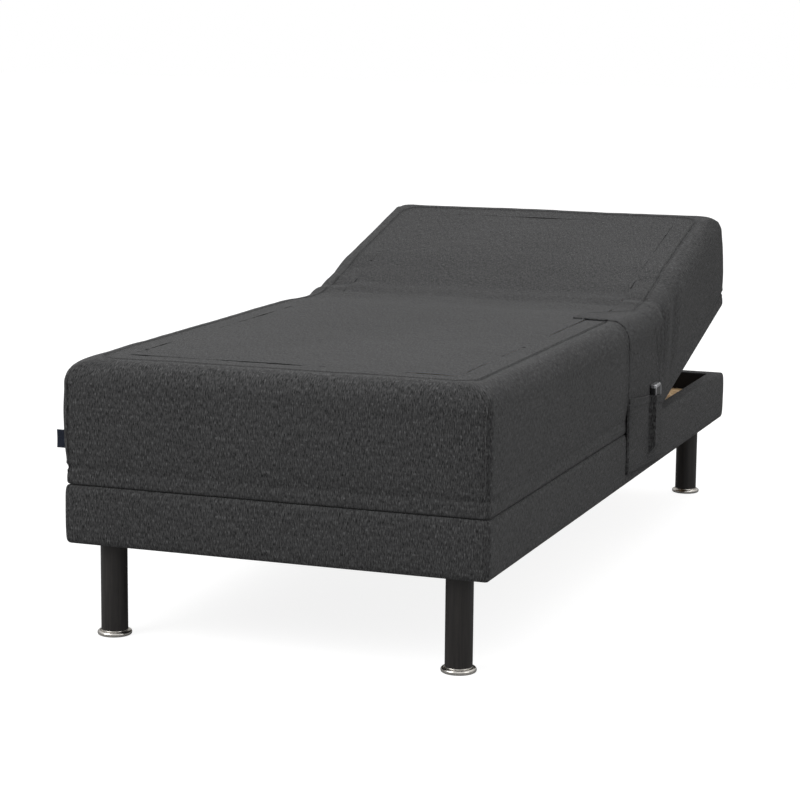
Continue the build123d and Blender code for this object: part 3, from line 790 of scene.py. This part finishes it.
def straight_band(name, y0, y1, seed):
    objs = []
    for s in (1, -1):
        n = max(8, int(abs(y1 - y0) / 0.01))
        yv = np.linspace(y0, y1, n)
        paths = [np.c_[np.full(n, s * (HW - d)), yv] for d, _ in BAND]
        objs.append(swept("part", paths, [z for _, z in BAND], [M_CLOTH], seed + s))
    bm = bmesh.new()
    for o in objs:
        bm.from_mesh(o.data)
    me = objs[0].data.copy()
    bm.to_mesh(me)
    bm.free()
    new = link(bpy.data.objects.new(name, me))
    me.name = name
    for o in objs:
        bpy.data.objects.remove(o)
    return new


def u_band(name, y_in, end, seed):
    return swept(name, [u_path(d, y_in, end) for d, _ in BAND], [z for _, z in BAND], [M_CLOTH], seed)


b_calf = u_band("edge_band_calf", KNY - 0.0006, -1, 41)
b_back = u_band("edge_band_back", HY + 0.0006, 1, 42)
b_seat = straight_band("edge_band_seat", THY + 0.0006, HY - 0.0006, 43)
b_thigh = straight_band("edge_band_thigh", KNY + 0.0006, THY - 0.0006, 44)


def wedge(o, y0, half, side):
    """Slope the end at y0 back by half the joint's travel, so the two ends clear."""
    c = coords(o)
    w = np.clip(1 - np.abs(c[:, 1] - y0) / 0.08, 0, 1)
    c[:, 1] += side * w * (c[:, 2] - HZ) * math.tan(math.radians(half))
    set_coords(o, c)


wedge(b_back, HY, 30.8, 1)
wedge(b_seat, HY, 30.8, -1)
wedge(b_seat, THY, 15.8, 1)
wedge(b_thigh, THY, 15.8, -1)
set_coords(b_back, turn_x(coords(b_back), REST))
for o, b in ((b_calf, "calf"), (b_back, "back"), (b_seat, "base"), (b_thigh, "thigh")):
    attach(o, b)

# ------------------------------------------------------------------ lower frame upholstery
fxs = np.linspace(-XC, XC, 92)
fys = np.linspace(-YC, YC, 220)
FNC = 60
FR = [
    (0.0378, 0.2040), (0.0378, 0.1975), (0.0366, 0.1956), (0.0300, 0.1951), (0.0200, 0.1950), (0.0120, 0.1950), (0.0080, 0.1954),
    (0.0045, 0.1968), (0.0019, 0.1993), (0.0003, 0.2030), (-0.0007, 0.2080), (-0.0014, 0.2180), (-0.0019, 0.2320), (-0.0021, 0.2480),
    (-0.0021, 0.2640), (-0.0020, 0.2800), (-0.0018, 0.2920), (-0.0015, 0.3000), (-0.0009, 0.3062), (0.0000, 0.3107), (0.0013, 0.3137),
    (0.0030, 0.3157), (0.0052, 0.3167), (0.0080, 0.3170), (0.0102, 0.3168), (0.0120, 0.3163), (0.0200, 0.3163), (0.0300, 0.3163), (0.0360, 0.3160), (0.0376, 0.3148), (0.0378, 0.3120),
    (0.0378, 0.2900), (0.0378, 0.2600), (0.0378, 0.2300),
]
rows = [np.c_[ring(d, max(0.006 - d, 0.0012), fxs, fys, FNC), np.full(2 * len(fxs) + 2 * len(fys) + 4 * FNC, z)] for d, z in FR]
F, q = grid_faces(len(rows), len(rows[0]), closed_n=True, closed_m=True)
ul = lengths(ring(0.0, 0.006, fxs, fys, FNC))
fp = FR + FR[:1]
vl = np.r_[0, np.cumsum([math.hypot(fp[i + 1][0] - fp[i][0], fp[i + 1][1] - fp[i][1]) for i in range(len(FR))])]
uvs = [(ul[j], vl[i]) for k in q for i, j in k]
idx = [1 if (k[0][0] >= len(FR) - 6 or k[0][0] < 3) else 0 for k in q]
frame_cloth = recalc(make("frame_upholstery", np.vstack(rows), F, [M_CLOTH, M_LINING], uvs, idx))
c, nn = coords(frame_cloth), normals(frame_cloth)
outer = smooth(0.006, 0.0015, np.minimum(HW - np.abs(c[:, 0]), HL - np.abs(c[:, 1]))) * smooth(0.197, 0.206, c[:, 2]) * smooth(0.314, 0.306, c[:, 2])
dd = 0.0007 * fbm(c, 6.0, 51, 3) * outer + 0.0003 * fbm(c, 30.0, 52, 2) * outer
# cloth folded over at the four corners: a tuck on the end face just before the turn
tx = np.abs(c[:, 0]) + 0.0006 * np.sin(c[:, 2] * 70)
endf = smooth(0.010, 0.003, HL - np.abs(c[:, 1])) * smooth(0.1955, 0.200, c[:, 2]) * smooth(0.3165, 0.311, c[:, 2])
dd += endf * (-0.0024 * bell(tx, 0.4412, 0.0013) + 0.0010 * bell(tx, 0.4372, 0.0030))
# slight pulls along the lower edge where it is stapled
dd += 0.0004 * fbm(np.c_[c[:, 0] + c[:, 1], c[:, 0] - c[:, 1], c[:, 2] * 0.2], 20.0, 53, 2) * bell(c[:, 2], 0.205, 0.008) * smooth(0.03, 0.0, np.minimum(HW - np.abs(c[:, 0]), HL - np.abs(c[:, 1])))
set_coords(frame_cloth, c + nn * dd[:, None])
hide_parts("rail_covers_side", "rail_covers_end")
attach(frame_cloth, "base")


# ------------------------------------------------------------------ glides under the legs
def lathe(name, prof_rz, centres, mats, n=96):
    V, F, U = [], [], []
    m = len(prof_rz)
    for cx, cy in centres:
        b = len(V)
        for k in range(n):
            a = 2 * math.pi * k / n
            for r, z in prof_rz:
                V.append((cx + r * math.cos(a), cy + r * math.sin(a), z))
        for k in range(n):
            for i in range(m - 1):
                F.append([b + k * m + i, b + ((k + 1) % n) * m + i, b + ((k + 1) % n) * m + i + 1, b + k * m + i + 1])
                U += [(k / n, i / m)] * 4
    o = make(name, V, F, mats, U)
    merge(o, 1e-6)
    return recalc(o)


LEGS = [(0.372, -0.940), (-0.372, -0.940), (0.372, 0.932), (-0.372, 0.932)]
GL = [(0.0, 0.0), (0.0305, 0.0), (0.0327, 0.0003), (0.0343, 0.0012), (0.0352, 0.0027), (0.0355, 0.0045), (0.0352, 0.0064),
      (0.0343, 0.0081), (0.0328, 0.0093), (0.0315, 0.0096), (0.0303, 0.0091), (0.0295, 0.0079), (0.0291, 0.0069), (0.0287, 0.0066),
      (0.0282, 0.0070), (0.0279, 0.0082), (0.0278, 0.0100), (0.0278, 0.0112), (0.0272, 0.0116), (0.0, 0.0116)]
glides = lathe("leg_glide_rings", GL, LEGS, [M_GLIDE])
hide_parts("leg_glides")
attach(glides, "base")

# ------------------------------------------------------------------ side pocket
E_IN, E_OUT = 0.0022, 0.0051     # cloth stands this far off the body's nominal side
CZ0 = 0.2225
NS, NA, NTP = 46, 14, 16         # rows up the side, round the edge, across the top
EDGE_Z = np.array([0.20, 0.320, 0.345, 0.377, 0.422, 0.474, 0.505, 0.547, 0.565])
EDGE_Y = np.array([0.306, 0.306, 0.301, 0.294, 0.278, 0.2615, 0.2545, 0.2450, 0.2360])
LEFT = -0.008


def right_edge(z):
    return float(np.interp(z, EDGE_Z, EDGE_Y))


def hem_z(y):
    """Mouth of the pocket: it hangs lower towards the handset."""
    return 0.3985 - 0.10 * y


def foot_z(y):
    return 0.2250 - 0.05 * y


def panel_line(e):
    """Height profile of the hanging panel at offset e: (x, z), from the bottom hem up and over."""
    p = [(HW + e, z) for z in np.linspace(CZ0, 0.520, NS)]
    for i in range(1, NA + 1):
        a = math.radians(90 * i / NA)
        p.append((0.410 + (0.040 + e) * math.cos(a) ** 0.92, 0.522 + (0.050 + e - 0.0015) * math.sin(a) + 0.0014 * math.sin(a) ** 2))
    for x in np.linspace(0.404, 0.321, NTP):
        p.append((x, Z_TOP + e - 0.0015 + 0.0045 * (1 - (x / 0.45) ** 4)))
    return np.array(p)


def sheet_from(name, surf_out, surf_in, n, m, mats, uv_of):
    """Closed thin sheet from two grids, joined round the rim."""
    V = np.vstack([surf_out, surf_in])
    F, q = grid_faces(n, m)
    G, r = grid_faces(n, m, flip=True)
    U = [uv_of(i, j) for k in q for i, j in k] + [uv_of(i, j) for k in r for i, j in k]
    F = F + [[a + n * m for a in f] for f in G]
    rim = [(i, 0) for i in range(n)] + [(n - 1, j) for j in range(1, m)] + [(i, m - 1) for i in range(n - 2, -1, -1)] + [(0, j) for j in range(m - 2, 0, -1)]
    for a, b in zip(rim, rim[1:] + rim[:1]):
        ia, ib = a[0] * m + a[1], b[0] * m + b[1]
        F.append([ib, ia, ia + n * m, ib + n * m])
        U += [uv_of(*b), uv_of(*a), uv_of(*a), uv_of(*b)]
    return recalc(make(name, V, F, mats, U))


lo_, hi_ = panel_line(E_IN), panel_line(E_OUT)
vlen = lengths(hi_, False)
NJ = len(hi_)
NI = 64
iy = np.linspace(0, 1, NI)
iy = 0.5 - 0.5 * np.cos(np.pi * iy) * (0.75 + 0.25 * np.abs(np.cos(np.pi * iy)))   # closer at the hems
iy = (iy - iy[0]) / (iy[-1] - iy[0])


def panel_right(j):
    """Right edge at profile row j, flat pose."""
    if j < NS + NA:
        return right_edge(hi_[j][1])
    o = (vlen[j] - vlen[NS + NA - 1]) / (vlen[-1] - vlen[NS + NA - 1])
    return right_edge(0.6) - 0.105 * (3 * o**2 - 2 * o**3)


RE = np.array([panel_right(j) for j in range(NJ)])
outer_p, inner_p = [], []
for i in range(NI):
    for j in range(NJ):
        left, right = LEFT, RE[j]
        yv = left + (right - left) * iy[i]
        x, zz = hi_[j]
        xi, zi = lo_[j]
        dx, dz = x - xi, zz - zi
        ln = math.hypot(dx, dz)
        hm = float(smooth(0.0135, 0.0115, np.array(min(yv - left, right - yv, vlen[j])))) * 0.0009
        rnd = 0.0009 * float(smooth(0.0016, 0.0, np.array(min(iy[i], 1 - iy[i]) * (right - left))))
        tilt = (foot_z(yv) - CZ0) * float(smooth(0.300, 0.2225, np.array(zz)))
        outer_p.append((x + dx / ln * (hm - rnd), yv, zz + dz / ln * (hm - rnd) + tilt))
        inner_p.append((xi, yv, zi + tilt))
outer_p, inner_p = np.array(outer_p), np.array(inner_p)
panel = sheet_from("caddy_panel_cloth", outer_p, inner_p, NI, NJ, [M_CADDY], lambda i, j: (float(iy[i]) * 0.314, float(vlen[j]) + 3.0))
pc = coords(panel)
hang = smooth(0.53, 0.47, pc[:, 2])
pc[:, 0] += 0.0004 * fbm(pc, 11.0, 61, 2) * hang + 0.0003 * bell(pc[:, 2], 0.44, 0.03) * np.sin((pc[:, 1] - 0.02) * 26.0) * hang
set_coords(panel, to_rest(pc, share_caddy))

# pocket: one cloth sewn to the panel on three sides and down the middle, mouth up
P0 = HW + E_OUT                 # the panel's face
T = 0.0022
yk = np.array(sorted(set(np.round(np.r_[
    np.linspace(-0.0065, 0.162, 44), np.linspace(0.162, 0.1735, 8), np.linspace(0.1735, 0.1835, 11),
    np.linspace(0.1835, 0.2345, 20), np.linspace(0.2345, 0.2445, 11), np.linspace(0.2445, 0.256, 8), np.linspace(0.256, 0.3045, 14)], 6))))
sk = np.r_[np.linspace(0, 0.26, 20)[:-1], np.linspace(0.26, 0.88, 28)[:-1], np.linspace(0.88, 1, 14)]


def pocket_z(yv, s_):
    zb = foot_z(yv) + 0.0008
    return zb + s_ * (hem_z(yv) - zb)


def pocket_y(yv, z):
    if yv <= 0.256:
        return yv
    return 0.256 + (yv - 0.256) / (0.3045 - 0.256) * (right_edge(z) - 0.0015 - 0.256)


def depth(yv, zv):
    """How far the pocket's outer face stands off the panel's face."""
    d = T + 0.0006
    a = math.sin(math.pi * min(1.0, max(0.0, (yv + 0.001) / 0.166))) ** 0.75
    rise = float(smooth(0.232, hem_z(yv) - 0.012, np.array(zv)))
    d += 0.0062 * a * rise
    wall = float(smooth(0.1745, 0.1828, np.array(yv)) * smooth(0.2438, 0.2352, np.array(yv)))
    low = float(smooth(0.234, 0.264, np.array(zv)))
    d += 0.0154 * wall * low
    d += 0.0018 * float(bell(np.array(yv), 0.262, 0.013)) * rise
    return d


op, ip = [], []
for yv in yk:
    for s_ in sk:
        zv = pocket_z(yv, s_)
        D = depth(yv, zv)
        h = 0.0007 * float(smooth(-0.020, -0.018, np.array(zv - hem_z(yv))))     # turned hem at the mouth
        e = min(yv - yk[0], yk[-1] - yv, zv - foot_z(yv))
        rnd = 0.0007 * float(smooth(0.0014, 0.0, np.array(e)))
        push = (float(bell(np.array(yv), 0.1785, 0.0035)) - float(bell(np.array(yv), 0.2396, 0.0035))) * 0.0014 * float(smooth(0.240, 0.262, np.array(zv)))
        op.append((P0 + D + h - rnd, pocket_y(yv, zv), zv))
        ip.append((P0 + max(D - T, 0.0002), pocket_y(yv, zv) + push, zv))
op, ip = np.array(op), np.array(ip)
yl = lengths(np.c_[yk, [depth(v, 0.35) for v in yk]], False)
pocket = sheet_from("caddy_pocket_cloth", op, ip, len(yk), len(sk), [M_CADDY], lambda i, j: (float(yl[i]) + 1.3, float(pocket_z(yk[i], sk[j])) + 5.0))
O3 = op.reshape(len(yk), len(sk), 3)
for i in range(len(yk) - 1):
    for j in range(len(sk) - 1):
        a, b, c_, d_ = O3[i, j], O3[i + 1, j], O3[i + 1, j + 1], O3[i, j + 1]
c = coords(pocket)
c[:, 0] += 0.0005 * fbm(c, 16.0, 71, 2) * smooth(0.235, 0.26, c[:, 2])
set_coords(pocket, c)

# stitch rows
lines, lnn, lines2, lnn2 = [], [], [], []
for off in (0.0085, -0.0085):
    P = []
    for v in np.linspace(0.180, vlen[-1] - 0.012, 120):
        x, zz = np.interp(v, vlen, hi_[:, 0]), np.interp(v, vlen, hi_[:, 1])
        yv = LEFT + off if off > 0 else float(np.interp(v, vlen, RE)) + off
        P.append((x + 0.0009 * (zz < 0.53), yv, zz + 0.0009 * (zz >= 0.53)))
    P = np.array(P)
    g = np.gradient(P[:, [0, 2]], axis=0)
    Nn = np.c_[g[:, 1], np.zeros(len(P)), -g[:, 0]]
    lines.append(to_rest(P, share_caddy)); lnn.append(Nn / np.linalg.norm(Nn, axis=1)[:, None])
for dz_ in (0.0035, 0.0160):
    P = np.array([(P0 + depth(v, hem_z(v) - dz_) + 0.0008, pocket_y(v, hem_z(v) - dz_), hem_z(v) - dz_) for v in np.linspace(-0.004, 0.302, 220)])
    g = np.gradient(P[:, :2], axis=0)
    Nn = np.c_[g[:, 1], -g[:, 0], np.zeros(len(P))]
    lines2.append(P); lnn2.append(Nn / np.linalg.norm(Nn, axis=1)[:, None])
for yy_ in (0.0005, 0.1685, 0.2965):
    P = np.array([(P0 + depth(yy_, v) + 0.0001, pocket_y(yy_, v), v) for v in np.linspace(foot_z(yy_) + 0.006, hem_z(yy_) - 0.019, 60)])
    lines2.append(P); lnn2.append(np.tile((1.0, 0, 0), (60, 1)))
for dz_ in (0.0055, 0.0125):
    P = np.array([(P0 + depth(v, foot_z(v) + dz_) + 0.0001, v, foot_z(v) + dz_) for v in np.linspace(0.0005, 0.2965, 140)])
    lines2.append(P); lnn2.append(np.tile((1.0, 0, 0), (140, 1)))
st_panel = stitches("caddy_panel_stitches", lines, lnn)
st_pocket = stitches("caddy_pocket_stitches", lines2, lnn2)
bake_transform(panel)
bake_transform(st_panel)
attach(pocket, "base")
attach(st_pocket, "base")
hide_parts("caddy_panel")
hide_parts("caddy_pocket")


# ------------------------------------------------------------------ black underlining of the moving sections
def dust_cloth(name, y0, y1, half, seed):
    """Thin cloth stapled under the battens, a little slack between."""
    nx, ny = 56, 64
    gx_, gy_ = np.linspace(-half, half, nx), np.linspace(y0, y1, ny)
    X, Y = np.meshgrid(gx_, gy_, indexing="ij")
    p = np.c_[X.ravel(), Y.ravel(), np.full(X.size, 0.31740)]
    e = np.minimum(half - np.abs(p[:, 0]), np.minimum(p[:, 1] - y0, y1 - p[:, 1]))
    p[:, 2] -= smooth(0.034, 0.14, e) * (0.0014 + 0.0010 * fbm(p, 8.0, seed, 2))
    return sheet_from(name, p - np.array((0, 0, 0.0003)), p, nx, ny, [M_LINING], lambda i, j: (float(gx_[i]), float(gy_[j])))


for nm_, body_, y0_, y1_, sd in (("dust_cloth_back", "back", 0.304, 0.985, 81), ("dust_cloth_thigh", "thigh", -0.506, -0.146, 82), ("dust_cloth_calf", "calf", -0.985, -0.534, 83)):
    dc = dust_cloth(nm_, y0_, y1_, 0.434, sd)
    if body_ == "back":
        set_coords(dc, turn_x(coords(dc), REST))
    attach(dc, body_)

# ------------------------------------------------------------------ handset bezel
hs_lo, hs_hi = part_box("handset_shell")
cap_lo, cap_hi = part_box("handset_cap")


def bezel():
    """Silver frame let into the handset's face, round its edge."""
    y0, y1, z0, z1, r = hs_lo.y + 0.0022, hs_hi.y - 0.0022, hs_lo.z + 0.006, cap_hi.z - 0.0028, 0.008
    pts = []
    for cx, cz, a0 in ((y1 - r, z1 - r, 0), (y0 + r, z1 - r, 90), (y0 + r, z0 + r, 180), (y1 - r, z0 + r, 270)):
        for a in np.radians(np.linspace(a0, a0 + 90, 9)):
            pts.append((cx + r * math.cos(a), cz + r * math.sin(a)))
    pts = np.array(pts)
    n, k = len(pts), 10
    V = []
    ctr = pts.mean(0)
    for i in range(n):
        t = pts[(i + 1) % n] - pts[i - 1]
        t /= np.linalg.norm(t)
        o = np.array((t[1], -t[0]))
        if o @ (pts[i] - ctr) < 0:
            o = -o
        for g in range(k):
            a = 2 * math.pi * g / k
            w = 0.0017 * math.cos(a)
            V.append((hs_hi.x + 0.0002 + 0.0011 * math.sin(a), pts[i][0] + o[0] * w, pts[i][1] + o[1] * w))
    F, q = grid_faces(n, k, closed_n=True, closed_m=True)
    return recalc(make("handset_bezel", V, F, [M_SILVER], [(0, 0)] * (4 * len(F))))


bz = bezel()
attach(bz, "handset")

# ------------------------------------------------------------------ woven tab in the left side
tl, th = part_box("label_tab")


def tab():
    """Ribbon folded double, its ends sewn into the cover."""
    n, m = 26, 14
    path = []
    x_in, x_out = th.x + 0.003, tl.x + 0.0012
    yc = (tl.y + th.y) / 2
    g = 0.0009
    for t in np.linspace(0, 1, 11):
        path.append((x_in + (x_out - x_in) * t, yc - g * (0.35 + 0.65 * t)))
    for a in np.radians(np.linspace(-60, 60, 5)):
        path.append((x_out - 0.0011 * math.cos(a), yc + g * math.sin(a)))
    for t in np.linspace(1, 0, 11)[0:]:
        path.append((x_in + (x_out - x_in) * t, yc + g * (0.35 + 0.65 * t)))
    path = np.array(path)
    n = len(path)
    tg = np.gradient(path, axis=0)
    nn_ = np.c_[tg[:, 1], -tg[:, 0]] / np.linalg.norm(tg, axis=1)[:, None]
    zsv = np.linspace(tl.z + 0.0005, th.z - 0.0005, m)
    out, inn = [], []
    for i in range(n):
        for zz in zsv:
            bend = 0.0006 * math.sin((zz - tl.z) * 85.0) * (th.x - path[i][0]) / 0.016
            p = path[i]
            out.append((p[0] + nn_[i][0] * 0.0003, p[1] + nn_[i][1] * 0.0003 + bend, zz))
            inn.append((p[0] - nn_[i][0] * 0.0003, p[1] - nn_[i][1] * 0.0003 + bend, zz))
    L = lengths(path, False)
    o = sheet_from("side_label_tab", np.array(out), np.array(inn), n, m, [M_LABEL], lambda i, j: (float(L[i]), float(zsv[j])))
    return o, float(L[-1]), float(zsv[-1] - zsv[0])


tb, tl_len, tl_h = tab()
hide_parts("label_tab")
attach(tb, "calf")

# ------------------------------------------------------------------ floor, light, camera
me = bpy.data.meshes.new("floor")
me.from_pydata([(-30, -30, 0), (30, -30, 0), (30, 30, 0), (-30, 30, 0)], [], [(0, 1, 2, 3)])
floor = link(bpy.data.objects.new("floor", me))
fm = Nodes("studio_floor")
fo = fm.obj()
fn = fm.noise(fm.scaled(fo, (3, 3, 3)), 1.0, 3.0)
fm.set(Specular_IOR_Level=0.1, Emission_Color=(1, 1, 1, 1))
flp = fm.add("ShaderNodeLightPath")
fm.to(fm.math("MULTIPLY", flp.outputs["Is Camera Ray"], 0.86), fm.b.inputs["Emission Strength"])
me.materials.append(fm.done(fm.mix(fm.span(fn, 0.3, 0.7), (0.30, 0.30, 0.30), (0.31, 0.31, 0.31)), 0.8))

world = bpy.data.worlds.new("studio")
scene.world = world
world.use_nodes = True
wt = world.node_tree
bg = wt.nodes["Background"]
bg.inputs[0].default_value = (1.0, 1.0, 1.0, 1)
wlp = wt.nodes.new("ShaderNodeLightPath")
wtc = wt.nodes.new("ShaderNodeTexCoord")
wsep = wt.nodes.new("ShaderNodeSeparateXYZ")
wt.links.new(wtc.outputs["Generated"], wsep.inputs[0])
wmr = wt.nodes.new("ShaderNodeMapRange")
wt.links.new(wsep.outputs[2], wmr.inputs[0])
for i, v in ((1, 0.0), (2, 1.0), (3, 0.28), (4, 1.05)):
    wmr.inputs[i].default_value = v
wmx = wt.nodes.new("ShaderNodeMath")
wmx.operation = "MAXIMUM"
wt.links.new(wmr.outputs[0], wmx.inputs[0])
wt.links.new(wlp.outputs["Is Camera Ray"], wmx.inputs[1])
wt.links.new(wmx.outputs[0], bg.inputs[1])


def area(name, loc, target, size, power, colour=(1, 1, 1)):
    l = bpy.data.lights.new(name, "AREA")
    l.shape = "RECTANGLE"
    l.size, l.size_y = size
    l.energy = power
    l.color = colour
    o = link(bpy.data.objects.new(name, l))
    o.location = loc
    o.rotation_mode = "QUATERNION"
    o.rotation_quaternion = (Vector(target) - Vector(loc)).to_track_quat("-Z", "Y")
    return o


area("key_left", (-2.4, -3.4, 3.2), (0, 0, 0.35), (2.6, 2.6), 92)
area("fill_right", (4.2, -1.6, 2.6), (0.2, 0.1, 0.4), (2.4, 2.4), 22)
area("top_back", (0.4, 2.8, 3.4), (0, 0.4, 0.5), (3.0, 1.6), 22)

cam_d = bpy.data.cameras.new("camera")
cam = link(bpy.data.objects.new("camera", cam_d))
yaw, pitch, roll = 0.35122, -0.16587, 0.00961
fwd = Vector((-math.sin(yaw) * math.cos(pitch), math.cos(yaw) * math.cos(pitch), math.sin(pitch)))
right = Vector((math.cos(yaw), math.sin(yaw), 0))
upv = right.cross(fwd)
r2 = right * math.cos(roll) + upv * math.sin(roll)
u2 = -right * math.sin(roll) + upv * math.cos(roll)
cam.matrix_world = Matrix((
    (r2.x, u2.x, -fwd.x, 1.81635),
    (r2.y, u2.y, -fwd.y, -5.2274),
    (r2.z, u2.z, -fwd.z, 1.29106),
    (0, 0, 0, 1),
))
cam_d.sensor_width = 36.0
cam_d.lens = 2403.13 * 36.0 / 800.0
cam_d.clip_end = 200
scene.camera = cam
scene.view_settings.view_transform = "Standard"
scene.view_settings.look = "None"
